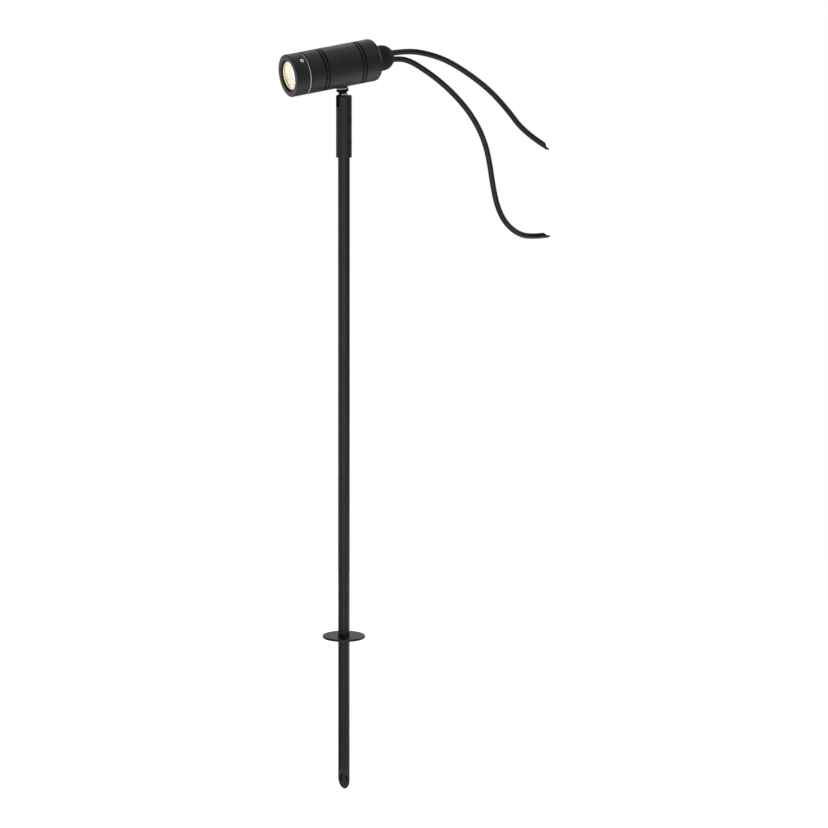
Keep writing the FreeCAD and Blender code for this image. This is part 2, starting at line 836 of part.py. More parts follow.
def main():
    os.makedirs("parts", exist_ok=True)
    save("ground_disc", ground_disc())
    save("spike_tube", spike_tube())
    for index, name in enumerate(("pole_lower", "pole_middle", "pole_upper")):
        save(name, pole_section(index))
    save("pole_joiners", pole_joiners())
    save("pole_sleeve", pole_sleeve())
    save("sleeve_set_screws", sleeve_set_screws())
    save("tilt_pin", tilt_pin())

    for make in (pivot_knuckle, lock_ring, pivot_washer):
        save(make.__name__, on_stem(make()))

    head_parts = [head_body, bezel_ring, bezel_grub_screws, bezel_gasket, front_seal, front_glass,
                  rear_seal, lamp_reflector, lamp_cover_glass, lamp_capsule, lamp_base, lamp_pins,
                  lamp_holder, holder_plate, holder_plate_screws, lamp_leads, terminal_block,
                  terminal_screws, cable_cores, gland_seal, gland_body, gland_nut, gland_insert,
                  cable_entries]
    for make in head_parts:
        save(make.__name__, on_head(make()))

    save("upper_cable", cable("upper cable", cable_offset, upper_lead_out, upper_route))
    save("lower_cable", cable("lower cable", -cable_offset, lower_lead_out, lower_route))
    save("upper_cable_end", cable_end(cable_offset, upper_lead_out, upper_route))
    save("lower_cable_end", cable_end(-cable_offset, lower_lead_out, lower_route))


main()
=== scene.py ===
import json
import math

import bmesh
import bpy
from mathutils import Matrix, Vector


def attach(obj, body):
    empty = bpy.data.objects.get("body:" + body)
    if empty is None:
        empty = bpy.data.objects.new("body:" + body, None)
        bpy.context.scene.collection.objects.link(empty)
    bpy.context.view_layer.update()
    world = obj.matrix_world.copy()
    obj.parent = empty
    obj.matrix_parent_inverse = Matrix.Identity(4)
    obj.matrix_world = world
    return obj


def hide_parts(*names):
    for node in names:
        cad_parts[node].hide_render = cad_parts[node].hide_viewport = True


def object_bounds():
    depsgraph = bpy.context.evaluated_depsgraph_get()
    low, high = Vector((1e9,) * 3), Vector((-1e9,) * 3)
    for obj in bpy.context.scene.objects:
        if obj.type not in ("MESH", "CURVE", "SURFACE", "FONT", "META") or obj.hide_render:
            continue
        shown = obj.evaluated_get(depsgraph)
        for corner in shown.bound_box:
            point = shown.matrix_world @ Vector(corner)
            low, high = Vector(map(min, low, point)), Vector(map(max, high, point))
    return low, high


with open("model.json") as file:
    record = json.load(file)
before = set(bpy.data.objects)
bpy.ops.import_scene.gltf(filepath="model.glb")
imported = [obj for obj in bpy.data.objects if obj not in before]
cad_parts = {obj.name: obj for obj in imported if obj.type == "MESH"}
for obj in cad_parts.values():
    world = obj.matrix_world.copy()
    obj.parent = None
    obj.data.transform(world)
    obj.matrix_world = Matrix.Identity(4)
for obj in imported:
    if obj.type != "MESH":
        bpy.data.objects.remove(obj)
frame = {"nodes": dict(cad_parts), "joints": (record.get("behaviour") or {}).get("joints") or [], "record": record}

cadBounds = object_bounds()
mm = 0.001  # lengths in the dictionaries are millimetres unless a note says otherwise
everyMaterial = {}

record = frame["record"]
bodyOf = {node: body for body, nodes in record["behaviour"]["bodies"].items() for node in nodes}

# the places that pieces are built in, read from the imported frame
joints = {joint["name"]: joint for joint in frame["joints"]}
headUp = Vector(joints["head_swivel"]["axis"]).normalized()
headBack = -Vector(joints["bezel_pull"]["axis"]).normalized()
headSide = headUp.cross(headBack)


def axesPlace(point, back, side, up):
    # a place at a point, with its x, y and z along three directions
    return Matrix.Translation(point) @ Matrix((back, side, up)).transposed().to_4x4()


# the stem's own axes, with the tilt pin at the middle: x back along the head, z up the stud
stemPlace = axesPlace(joints["head_tilt"]["pos_m"], headBack, headSide, headUp)
standUp = Matrix.Rotation(math.radians(-90), 4, "Y")  # stands a piece made along x up on z


def localBox(node, place=Matrix()):
    # lowest and highest corner of a node in millimetres, along the axes of a place
    inverse = place.inverted()
    points = [inverse @ vertex.co / mm for vertex in frame["nodes"][node].data.vertices]
    low = Vector([round(min(point[i] for point in points), 2) for i in range(3)])
    high = Vector([round(max(point[i] for point in points), 2) for i in range(3)])
    return low, high


def meshOf(shape, name):
    # a mesh that takes over a shape
    mesh = bpy.data.meshes.new(name)
    shape.to_mesh(mesh)
    shape.free()
    return mesh


def newObject(name, data):
    # an object in the scene, at the origin
    thing = bpy.data.objects.new(name, data)
    bpy.context.scene.collection.objects.link(thing)
    return thing


# the head's own axes: x runs back along its axis from the front face
bezelLow, bezelHigh = localBox("bezel_ring", stemPlace)
headPlace = stemPlace @ Matrix.Translation(
    Vector((bezelLow.x, 0, (bezelLow.z + bezelHigh.z) / 2)) * mm)


# camera, floor and lights

photoCamera = {
    "distance": 4.85,       # metres from the pole, measured level
    "height": 1.1391,       # metres above the ground disc
    "azimuth": 26.8,        # degrees round from the side of the light
    "pitchDown": 10.57,     # degrees
    "turnRight": 0.845,     # degrees, which puts the pole left of the middle
    "focalPixels": 4833.0,  # in a picture of 828 pixels
    "pictureWidth": 828.0,
    "sensor": 36.0,
}


def makeCamera():
    # a long lens from the left front, as in the photograph
    look = photoCamera
    azimuth, pitch, turn = (
        math.radians(look[angle]) for angle in ("azimuth", "pitchDown", "turnRight"))
    lens = bpy.data.cameras.new("photoCamera")
    lens.sensor_width = look["sensor"]
    lens.lens = look["focalPixels"] * look["sensor"] / look["pictureWidth"]
    lens.clip_end = 100.0
    camera = newObject("photoCamera", lens)
    stand = Vector((-math.sin(azimuth), -math.cos(azimuth), 0)) * look["distance"]
    roll = turn * math.sin(pitch)  # keeps the pole upright in the picture
    camera.matrix_world = (Matrix.Translation(stand + Vector((0, 0, look["height"])))
                           @ Matrix.Rotation(-azimuth - turn, 4, "Z")
                           @ Matrix.Rotation(math.pi / 2 - pitch, 4, "X")
                           @ Matrix.Rotation(roll, 4, "Z"))
    bpy.context.scene.camera = camera


studio = {
    "floorGap": 0.5,         # under the spike's point
    "floorRadius": 1050.0,   # its edge doesn't show against the surround
    "floorColour": "#f4f4f2",
    "floorRoughness": 0.9,
    "floorGlow": 0.03,       # besides its own shading; the camera sees it as white as the surround
    "surround": "#1a1a1b",   # what the black finish mirrors where no softbox stands
    "aimHeight": 0.3,        # metres above the ground disc
    "lightDistance": 6.0,    # metres
}

# rings of softboxes: degrees above level, degrees wide and tall as seen from the middle, and how
# bright each one is, by its degrees round from the camera towards the right
softboxes = {
    "low": {"rise": -15, "size": (30, 30), "bright": {
        -120: 1.9, -60: 0.9, -30: 1.15, 0: 1.5, 30: 0.75, 60: 0.37, 150: 0.6, 180: 0.46}},
    "level": {"rise": 12.5, "size": (30, 25), "bright": {30: 0.7, 120: 2.0, 150: 0.9, 180: 0.5}},
    "high": {"rise": 42.5, "size": (30, 35), "bright": {60: 0.9, 180: 1.5}},
    "overhead": {"rise": 75, "size": (90, 30), "bright": {60: 0.8, 150: 0.75}},
}

# lit patches of the floor: degrees round, distance and size in metres, and brightness
floorPatches = {
    "floorRight": (90, 0.78, (0.55, 1.2), 1.2),
    "floorFront": (0, 0.78, (0.55, 1.2), 0.5),
    "floorNearRight": (90, 0.28, (0.4, 0.5), 0.26),
    "floorUnderSpike": (0, 0.05, (0.1, 0.12), 0.5),
}


def addPanel(name, spot, aim, size, bright):
    # one soft light between its own place and what it is turned to
    light = bpy.data.lights.new(name, "AREA")
    light.shape = "RECTANGLE"
    light.size, light.size_y = size
    light.energy = bright * math.pi * light.size * light.size_y
    panel = newObject(name, light)
    facing = (spot - aim).to_track_quat("Z", "Y")
    panel.matrix_world = Matrix.Translation(spot) @ facing.to_matrix().to_4x4()
    panel.visible_camera = False


def roundFromCamera(turn, away, up):
    # a point by its degrees round from the camera, its distance out and its height
    way = math.radians(turn - 90 - photoCamera["azimuth"])
    return Matrix.Rotation(way, 3, "Z") @ Vector((away, 0, up))


def makeLights():
    # rings of large soft panels, and the parts of the floor that they light up
    reach, aim = studio["lightDistance"], Vector((0, 0, studio["aimHeight"]))
    for ring, panels in softboxes.items():
        rise, wide, tall = (math.radians(angle) for angle in (panels["rise"], *panels["size"]))
        size = 2 * reach * math.cos(rise) * math.tan(wide / 2), 2 * reach * math.tan(tall / 2)
        for turn, bright in panels["bright"].items():
            way = roundFromCamera(turn, math.cos(rise), math.sin(rise))
            addPanel(f"{ring}{turn}", aim + way * reach, aim, size, bright)
    for name, (turn, away, size, bright) in floorPatches.items():
        spot = roundFromCamera(turn, away, cadBounds[0][2])
        addPanel(name, spot, spot + Vector((0, 0, 1)), size, bright)


def makeStudio():
    # a pale floor, in a surround that the camera sees as white and the object mirrors as dark
    world = bpy.data.worlds.new("whiteSurround")
    bpy.context.scene.world = world
    world.use_nodes = True
    tree = world.node_tree
    surround = tree.nodes["Background"]
    surround.inputs["Color"].default_value = hexColour(studio["surround"])
    white = addNode(tree, "ShaderNodeBackground", {"Color": (1, 1, 1, 1)})
    seen = addNode(tree, "ShaderNodeLightPath", {}, "Is Camera Ray")
    choose = addNode(tree, "ShaderNodeMixShader", {"Fac": seen})
    tree.links.new(surround.outputs[0], choose.node.inputs[1])
    tree.links.new(white, choose.node.inputs[2])
    tree.links.new(choose, tree.nodes["World Output"].inputs["Surface"])

    shape = bmesh.new()
    bmesh.ops.create_circle(shape, cap_ends=True, segments=96, radius=studio["floorRadius"] * mm)
    shape.transform(Matrix.Translation((0, 0, cadBounds[0][2] - studio["floorGap"] * mm)))
    floor = newObject("floor", meshOf(shape, "floor"))
    tree, shader = newMaterial("paleFloor")[:2]
    seen = addNode(tree, "ShaderNodeLightPath", {}, "Is Camera Ray")
    glow = addNode(tree, "ShaderNodeMapRange", {
        "Value": seen, "To Min": studio["floorGlow"], "To Max": 1.0})
    fillSockets(tree, shader, {"Base Color": hexColour(studio["floorColour"]),
                               "Roughness": studio["floorRoughness"],
                               "Emission Color": (1, 1, 1, 1), "Emission Strength": glow})
    floor.data.materials.append(everyMaterial["paleFloor"])
    bpy.context.scene.view_settings.view_transform = "Standard"


# shapes

creaseAngle = math.radians(32)
softAngle = math.radians(40)  # edges sharper than this are rounded where a piece asks for it
samePlace = 0.002             # corners this close are one
past = 1                      # how far a cutting tool runs past the face that it opens


def lathe(profile, steps=96, rounds=4):
    # a closed outline of (x, radius) or (x, radius, rounding) corners, spun about x
    shape = bmesh.new()
    corners = [shape.verts.new((corner[0] * mm, 0, corner[1] * mm)) for corner in profile]
    lines = []
    for here, ahead in zip(corners, corners[1:] + corners[:1]):
        if here.co.z > 0 or ahead.co.z > 0:
            lines.append(shape.edges.new((here, ahead)))
    bmesh.ops.spin(shape, geom=corners + lines, cent=(0, 0, 0), axis=(1, 0, 0),
                   angle=2 * math.pi, steps=steps, use_merge=True)
    bmesh.ops.remove_doubles(shape, verts=shape.verts[:], dist=samePlace / 2 * mm)
    bmesh.ops.recalc_face_normals(shape, faces=shape.faces[:])
    for width in sorted({corner[2] for corner in profile if len(corner) == 3}):
        rims = []
        for corner in profile:
            if len(corner) == 3 and corner[2] == width:
                rims += circleEdges(shape, corner[0], corner[1])
        roundEdges(shape, rims, width, rounds)
    return shape


def roundEdges(shape, edges, width, segments=3):
    # rounds edges over a width in millimetres
    bmesh.ops.bevel(shape, geom=edges, offset=width * mm, segments=segments, profile=0.5,
                    affect="EDGES", material=-1, clamp_overlap=True)


def circleEdges(shape, x, radius):
    # the edges of a turned shape that lie on one circle
    def onCircle(vertex):
        offX = abs(vertex.co.x - x * mm)
        offRadius = abs(math.hypot(vertex.co.y, vertex.co.z) - radius * mm)
        return max(offX, offRadius) < samePlace * mm
    return [edge for edge in shape.edges if onCircle(edge.verts[0]) and onCircle(edge.verts[1])]


def arcCorners(start, middle, end, count):
    # corners along the circle through three (x, radius) points, without the first one
    a, b, c = (Vector(point) for point in (start, middle, end))
    turn = 2 * ((a.x - c.x) * (b.y - c.y) - (b.x - c.x) * (a.y - c.y))
    reachA, reachB = a.length_squared - c.length_squared, b.length_squared - c.length_squared
    centre = Vector((reachA * (b.y - c.y) - reachB * (a.y - c.y),
                     reachB * (a.x - c.x) - reachA * (b.x - c.x))) / turn
    first, last = a - centre, c - centre
    sweep = math.atan2(first.cross(last), first.dot(last))
    found = []
    for k in range(1, count + 1):
        point = centre + Matrix.Rotation(sweep * k / count, 2) @ first
        found.append((point.x, point.y))
    return found


def boxShape(low, high):
    # a block between two corners
    shape = bmesh.new()
    bmesh.ops.create_cube(shape, size=1)
    low, high = Vector(low) * mm, Vector(high) * mm
    bmesh.ops.scale(shape, vec=high - low, verts=shape.verts[:])
    bmesh.ops.translate(shape, vec=(high + low) / 2, verts=shape.verts[:])
    return shape


def rodShape(radius, start, end, edge=None, steps=48, bore=0):
    # a round bar or tube along x, with its ends rounded if an edge is given
    rim = (edge,) if edge else ()
    return lathe([(start, bore), (start, radius, *rim), (end, radius, *rim), (end, bore)], steps)


def hexShape(acrossFlats, start, end):
    # a hexagonal bar along x
    shape = bmesh.new()
    corner = acrossFlats / math.sqrt(3) * mm
    bmesh.ops.create_cone(shape, cap_ends=True, segments=6, radius1=corner, radius2=corner,
                          depth=(end - start) * mm)
    middle = Matrix.Translation(((start + end) / 2 * mm, 0, 0))
    return placed(shape, middle @ Matrix.Rotation(math.pi / 2, 4, "Y"))


def slicedOff(shape, point, outward):
    # cuts away what lies outside a plane, and gives back the open rim
    bmesh.ops.bisect_plane(shape, geom=shape.verts[:] + shape.edges[:] + shape.faces[:],
                           dist=samePlace / 20 * mm, plane_co=point, plane_no=outward,
                           clear_outer=True)
    return [edge for edge in shape.edges if edge.is_boundary]


def socketScrew(size, start, end, depth):
    # a headless screw or pin along x, with a hexagon socket in its outer end
    screw = rodShape(size["radius"], start, end, size["rim"])
    return carved(screw, [hexShape(size["socket"], end - depth, end + past)])


def placed(shape, place):
    # a shape moved to a place
    shape.transform(place)
    return shape


def joined(shapes):
    # several shapes in one
    together = bmesh.new()
    for shape in shapes:
        mesh = meshOf(shape, "part")
        together.from_mesh(mesh)
        bpy.data.meshes.remove(mesh)
    return together


def carved(shape, tools, operation="DIFFERENCE"):
    # a shape cut by others, or merged with them
    holders = [newObject(name, meshOf(part, name))
               for name, part in (("blank", shape), ("tool", joined(tools)))]
    change = holders[0].modifiers.new("carve", "BOOLEAN")
    change.operation = operation
    change.solver = "EXACT"
    change.use_self = True
    change.object = holders[1]
    bpy.context.view_layer.update()
    ready = holders[0].evaluated_get(bpy.context.evaluated_depsgraph_get())
    mesh = bpy.data.meshes.new_from_object(ready)
    result = bmesh.new()
    result.from_mesh(mesh)
    bpy.data.meshes.remove(mesh)
    for holder in holders:
        old = holder.data
        bpy.data.objects.remove(holder)
        bpy.data.meshes.remove(old)
    bmesh.ops.remove_doubles(result, verts=result.verts[:], dist=samePlace * mm)
    return result


def pieceName(node):
    # ground_disc becomes groundDisc
    first, *rest = node.split("_")
    return first + "".join(word.capitalize() for word in rest)


def dress(piece, node):
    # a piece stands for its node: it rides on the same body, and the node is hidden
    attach(piece, bodyOf[node])
    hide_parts(node)


def addPiece(node, shape, place, materials, softEdge=None):
    # a finished piece: its place goes into its mesh, so its object stays at the origin
    name = pieceName(node)
    shape.transform(place)
    for face in shape.faces:
        face.smooth = True
    for edge in shape.edges:
        edge.smooth = edge.calc_face_angle(0) < creaseAngle
    piece = newObject(name, meshOf(shape, name))
    for material in materials:
        piece.data.materials.append(everyMaterial[material])
    if softEdge:
        rounding = piece.modifiers.new("softEdge", "BEVEL")
        rounding.width = softEdge * mm
        rounding.segments = 3
        rounding.limit_method = "ANGLE"
        rounding.angle_limit = softAngle
    shading = piece.modifiers.new("evenShading", "WEIGHTED_NORMAL")  # keeps long faces even in tone
    shading.keep_sharp = True
    dress(piece, node)
    return piece


# pole, disc and spike

pole = {"wall": 2.0, "endRounding": 0.3, "steps": 72}


def makePole():
    # three tubes end to end, with fine seams where their edges are broken
    for name in ("pole_lower", "pole_middle", "pole_upper"):
        low, high = localBox(name)
        shape = rodShape(high.x, low.z, high.z, pole["endRounding"], pole["steps"],
                         bore=high.x - pole["wall"])
        addPiece(name, shape, standUp, ["tubePowderCoat"])


groundDisc = {"recess": 0.3, "recessRadius": 6.3, "recessRounding": 0.12, "rimRounding": 0.7}


def makeGroundDisc():
    # a thin flange that stops the spike at the ground
    low, high = localBox("ground_disc")
    bore = localBox("pole_lower")[1].x - pole["wall"]
    recess, wide = groundDisc["recess"], groundDisc["recessRadius"]
    soft, rim = groundDisc["recessRounding"], groundDisc["rimRounding"]
    shape = lathe([(low.z + recess, bore), (low.z + recess, wide), (low.z, wide, soft),
                   (low.z, high.x, rim), (high.z, high.x, rim), (high.z, wide, soft),
                   (high.z - recess, wide), (high.z - recess, bore)], steps=128, rounds=5)
    addPiece("ground_disc", shape, standUp, ["tubePowderCoat"])


spike = {"bevelLength": 24.0, "bevelDirection": 235.0, "topChamfer": 0.3, "cutRounding": 0.2}


def makeSpike():
    # the buried tube, cut off slanting, with the wall showing round the open end
    low, high = localBox("spike_tube")
    radius = localBox("pole_lower")[1].x
    bore = radius - pole["wall"]
    shape = placed(lathe([(low.z, bore), (low.z, radius), (high.z, radius, spike["topChamfer"]),
                          (high.z, bore)]), standUp)
    slope = math.atan2(2 * radius, spike["bevelLength"])
    turn = Matrix.Rotation(math.radians(spike["bevelDirection"]), 3, "Z")
    rims = slicedOff(shape, turn @ Vector((-radius, 0, low.z)) * mm,
                     turn @ Vector((math.cos(slope), 0, -math.sin(slope))))
    bmesh.ops.bridge_loops(shape, edges=rims)
    bmesh.ops.recalc_face_normals(shape, faces=shape.faces[:])
    roundEdges(shape, rims, spike["cutRounding"])
    addPiece("spike_tube", shape, Matrix(), ["tubePowderCoat"])


# sleeve and pivot

sleeve = {
    "boreRadius": 6.05, "boreDepth": 43.5, "boreRounding": 0.2,
    "topRounding": 0.9, "footRounding": 0.3, "softEdge": 0.25,
    "slotWidth": 7.2, "slotDepth": 11.7, "slotBack": 3.5,
    "screwDrops": (24.0, 48.0), "screwDirection": -70.0, "holeRadius": 1.52, "holeStart": 5.0,
    "pinNearEnd": -6.2, "pinFarEnd": 7.4,
}


def sleeveScrewPlace(drop):
    # on the pole's axis at a set screw's height, x pointing out along the screw
    top = localBox("pole_sleeve")[1].z
    return (Matrix.Translation((0, 0, (top - drop) * mm))
            @ Matrix.Rotation(math.radians(sleeve["screwDirection"]), 4, "Z"))


def pinPlace():
    # in the middle of the tilt pin, x pointing to the far side
    return Matrix.Translation(stemPlace.translation) @ Matrix.Rotation(math.pi / 2, 4, "Z")


def makeSleeve():
    # a turned sleeve, slotted open to the front at its top for the knuckle
    low, high = localBox("pole_sleeve")
    radius = high.x
    boreTop = low.z + sleeve["boreDepth"]
    shape = lathe([(low.z, sleeve["boreRadius"], sleeve["boreRounding"]),
                   (low.z, radius, sleeve["footRounding"]),
                   (high.z, radius, sleeve["topRounding"]), (high.z, 0), (boreTop, 0),
                   (boreTop, sleeve["boreRadius"])], rounds=5)
    shape.transform(standUp)
    half = sleeve["slotWidth"] / 2
    pinHole = rodShape(sleeve["holeRadius"], sleeve["pinNearEnd"], 2 * radius)
    tools = [boxShape((-2 * radius, -half, high.z - sleeve["slotDepth"]),
                      (sleeve["slotBack"], half, high.z + radius)), placed(pinHole, pinPlace())]
    for drop in sleeve["screwDrops"]:
        hole = rodShape(sleeve["holeRadius"], sleeve["holeStart"], 2 * radius)
        tools.append(placed(hole, sleeveScrewPlace(drop)))
    shape = carved(shape, tools)
    addPiece("pole_sleeve", shape, Matrix(), ["headPowderCoat"], sleeve["softEdge"])


smallScrews = {"radius": 1.5, "innerEnd": 5.9, "outerEnd": 7.9, "socket": 1.3, "socketDepth": 0.7,
               "rim": 0.12, "pinSocketDepth": 2.0}


def makeSleeveScrews():
    # blackened socket screws that clamp the sleeve, and the pin that the knuckle turns on
    size = smallScrews
    shapes = [placed(socketScrew(size, size["innerEnd"], size["outerEnd"], size["socketDepth"]),
                     sleeveScrewPlace(drop)) for drop in sleeve["screwDrops"]]
    addPiece("sleeve_set_screws", joined(shapes), Matrix(), ["blackenedSteel"])
    pin = socketScrew(size, sleeve["pinNearEnd"], sleeve["pinFarEnd"], size["pinSocketDepth"])
    addPiece("tilt_pin", pin, pinPlace(), ["blackenedSteel"])


knuckle = {
    "edge": 0.35, "footSegments": 14, "footSlack": 0.01, "flatness": 0.9,
    "studRadius": 3.0, "studRoot": 2.0, "studEdge": 0.4, "pinHole": 1.55, "holeReach": 8.0,
}


def makeKnuckle():
    # a flat-sided block with a stud: its flats are bare plated metal, and the rest is dead black
    low, high = localBox("pivot_knuckle", stemPlace)
    ringLow = localBox("lock_ring", stemPlace)[0].z
    depth = -low.z
    shape = boxShape((-depth, low.y, low.z), (depth, high.y, ringLow))
    foot = [edge for edge in shape.edges
            if all(vertex.co.z < 0 for vertex in edge.verts)
            and abs(edge.verts[0].co.y - edge.verts[1].co.y) > depth * mm]
    roundEdges(shape, foot, depth - knuckle["footSlack"], knuckle["footSegments"])
    roundEdges(shape, [edge for edge in shape.edges if edge.calc_face_angle(0) > creaseAngle],
               knuckle["edge"])
    studRoot = ringLow - knuckle["studRoot"]
    stud = rodShape(knuckle["studRadius"], studRoot, high.z, knuckle["studEdge"])
    shape = carved(shape, [placed(stud, standUp)], "UNION")
    hole = rodShape(knuckle["pinHole"], -knuckle["holeReach"], knuckle["holeReach"])
    shape = carved(shape, [placed(hole, Matrix.Rotation(math.pi / 2, 4, "Z"))])
    shape.normal_update()
    for face in shape.faces:
        onStud = face.calc_center_median().z > ringLow * mm
        face.material_index = 1 if onStud or abs(face.normal.y) > knuckle["flatness"] else 0
    addPiece("pivot_knuckle", shape, stemPlace, ["mattBlack", "platedFlats"])


lockRing = {"bore": 3.05, "footRadius": 4.3, "footRounding": 0.2, "collarRadius": 4.8,
            "collarHeight": 1.7, "collarRounding": 0.15, "rounding": 0.6}
washer = {"bore": 3.05, "rounding": 0.25}


def makeLockRing():
    # the ring nut under the head, and the pale washer that it presses on
    low, high = localBox("lock_ring", stemPlace)
    size = lockRing
    step = low.z + size["collarHeight"]
    shape = lathe([(low.z, size["bore"]), (low.z, size["footRadius"], size["footRounding"]),
                   (step, size["collarRadius"], size["collarRounding"]),
                   (step, high.x, size["rounding"]), (high.z, high.x, size["rounding"]),
                   (high.z, size["bore"])], rounds=5)
    addPiece("lock_ring", shape, stemPlace @ standUp, ["mattBlack"])
    low, high = localBox("pivot_washer", stemPlace)
    shape = rodShape(high.x, low.z, high.z, washer["rounding"], steps=96, bore=washer["bore"])
    addPiece("pivot_washer", shape, stemPlace @ standUp, ["washerNylon"])


# head body

headBody = {
    "boreRadius": 17.7, "rearBoreRadius": 13.0, "glandHole": 8.05, "spigotRadius": 19.3,
    "rearWall": 6.0, "grooves": (32.3, 35.8, 74.3, 77.8), "grooveWidth": 1.4, "grooveDepth": 1.4,
    "grooveRounding": 0.12,
    "shoulderStep": (1.0, 0.8), "stepRounding": 0.1, "rearRounding": 4.5, "spigotRounding": 0.4,
    "mouthRounding": 0.3, "boss": 5.2, "bossRounding": 0.3, "bossRoot": 3.0,
    "studHole": 3.05, "studHoleDepth": 7.8,
}


def makeHeadBody():
    # a turned barrel with two pairs of grooves, a spigot for the bezel and a boss underneath
    low, high = localBox("head_body", headPlace)
    gasketBack = localBox("bezel_gasket", headPlace)[1].x
    boreDepth = localBox("holder_plate", headPlace)[1].x
    radius, size = high.z, headBody
    stepWidth, stepDepth = size["shoulderStep"]  # the dark line behind the gasket
    profile = [(low.x, size["boreRadius"], size["mouthRounding"]),
               (low.x, size["spigotRadius"], size["spigotRounding"]),
               (gasketBack, size["spigotRadius"]),
               (gasketBack, radius - stepDepth, size["stepRounding"]),
               (gasketBack + stepWidth, radius - stepDepth),
               (gasketBack + stepWidth, radius, size["grooveRounding"])]
    for station in size["grooves"]:
        deep, end = radius - size["grooveDepth"], station + size["grooveWidth"]
        soft = size["grooveRounding"]
        profile += [(station, radius, soft), (station, deep), (end, deep), (end, radius, soft)]
    profile += [(high.x, radius, size["rearRounding"]), (high.x, size["glandHole"]),
                (high.x - size["rearWall"], size["glandHole"]),
                (high.x - size["rearWall"], size["rearBoreRadius"]),
                (boreDepth, size["rearBoreRadius"]), (boreDepth, size["boreRadius"])]
    shape = lathe(profile, steps=160, rounds=6)
    stud = localBox("pivot_washer", headPlace)
    centre = Matrix.Translation(((stud[0].x + stud[1].x) / 2 * mm, 0, 0)) @ standUp
    bossTop = -size["rearBoreRadius"] - size["bossRoot"]
    boss = rodShape(size["boss"], low.z, bossTop, size["bossRounding"])
    shape = carved(shape, [placed(boss, centre)], "UNION")
    hole = rodShape(size["studHole"], low.z - past, low.z + size["studHoleDepth"])
    shape = carved(shape, [placed(hole, centre)])
    addPiece("head_body", shape, headPlace, ["headPowderCoat"])


# bezel, glass and seals

bezel = {
    "opening": 14.25, "lip": 2.0, "openingSlope": 1.7, "frontRounding": 0.8, "backRounding": 0.2,
    "slopeRounding": (0.12, 0.15), "bore": 19.4, "boreRounding": 0.2,
    "screwStation": 10.6, "screwAngle": 44.0, "screwCount": 3, "screwHole": 2.05,
    "holeSpan": (18.0, 25.0),
}


def bezelScrewPlaces():
    # at the head's axis, x pointing out along each screw
    found = []
    for k in range(bezel["screwCount"]):
        angle = math.radians(bezel["screwAngle"] + k * 360 / bezel["screwCount"])
        found.append(Matrix.Translation((bezel["screwStation"] * mm, 0, 0))
                     @ Matrix.Rotation(angle, 4, "X") @ standUp)
    return found


def makeBezel():
    # the front ring, with a sloping edge round its opening and three screw holes
    high = localBox("bezel_ring", headPlace)[1]
    size, radius = bezel, high.z
    slope, (inner, outer) = size["openingSlope"], size["slopeRounding"]
    shape = lathe([(size["lip"], size["bore"]), (size["lip"], size["opening"]),
                   (slope, size["opening"], inner), (0, size["opening"] + slope, outer),
                   (0, radius, size["frontRounding"]), (high.x, radius, size["backRounding"]),
                   (high.x, size["bore"], size["boreRounding"])], steps=160, rounds=5)
    shape = carved(shape, [placed(rodShape(size["screwHole"], *size["holeSpan"]), place)
                           for place in bezelScrewPlaces()])
    addPiece("bezel_ring", shape, headPlace, ["headPowderCoat"])


grubScrew = {"radius": 2.0, "innerEnd": 19.6, "outerEnd": 21.4, "rim": 0.2, "socket": 2.0,
             "socketDepth": 1.1, "paintedShadeBelow": 0.02}


def makeGrubScrews():
    # bright socket screws in the bezel, almost flush
    size = grubScrew
    shapes = []
    for place in bezelScrewPlaces():
        screw = socketScrew(size, size["innerEnd"], size["outerEnd"], size["socketDepth"])
        for face in screw.faces:  # the socket's faces are painted dead black: painted shade in the recess
            middle = face.calc_center_median() / mm
            inSocket = math.hypot(middle.y, middle.z) < size["socket"] / math.sqrt(3)
            if inSocket and middle.x < size["outerEnd"] - size["paintedShadeBelow"]:
                face.material_index = 1
        shapes.append(placed(screw, place))
    addPiece("bezel_grub_screws", joined(shapes), headPlace, ["screwStainless", "mattBlack"])


# each node's inner radius, edge rounding and finish
rings = {
    "bezel_gasket": (19.35, 0.2, "gasketSilicone"),
    "front_seal": (14.65, 0.15, "sealSilicone"),
    "rear_seal": (17.7, 0.15, "sealSilicone"),
    "front_glass": (0, 0.35, "clearGlass"),
    "lamp_cover_glass": (0, 0.15, "clearGlass"),
    "gland_seal": (8.05, 0.2, "sealRubber"),
}


def makeRings():
    # flat turned rings and discs: gasket, seals and glasses
    for node, (inner, rounding, finish) in rings.items():
        low, high = localBox(node, headPlace)
        shape = rodShape(high.z, low.x, high.x, rounding, steps=128, bore=inner)
        addPiece(node, shape, headPlace, [finish])


# lamp

lamp = {
    "rimWidth": 2.0, "rimRounding": 0.3, "wall": 1.2, "glassSeat": 1.7, "neckRadius": 6.6,
    "neckBore": 3.3, "bellyBack": 0.62, "bellyOut": 0.58, "facetRings": 9, "facetSteps": 32,
    "facetGap": 0.16, "facetRise": 0.12, "capsuleDome": 0.98,
}


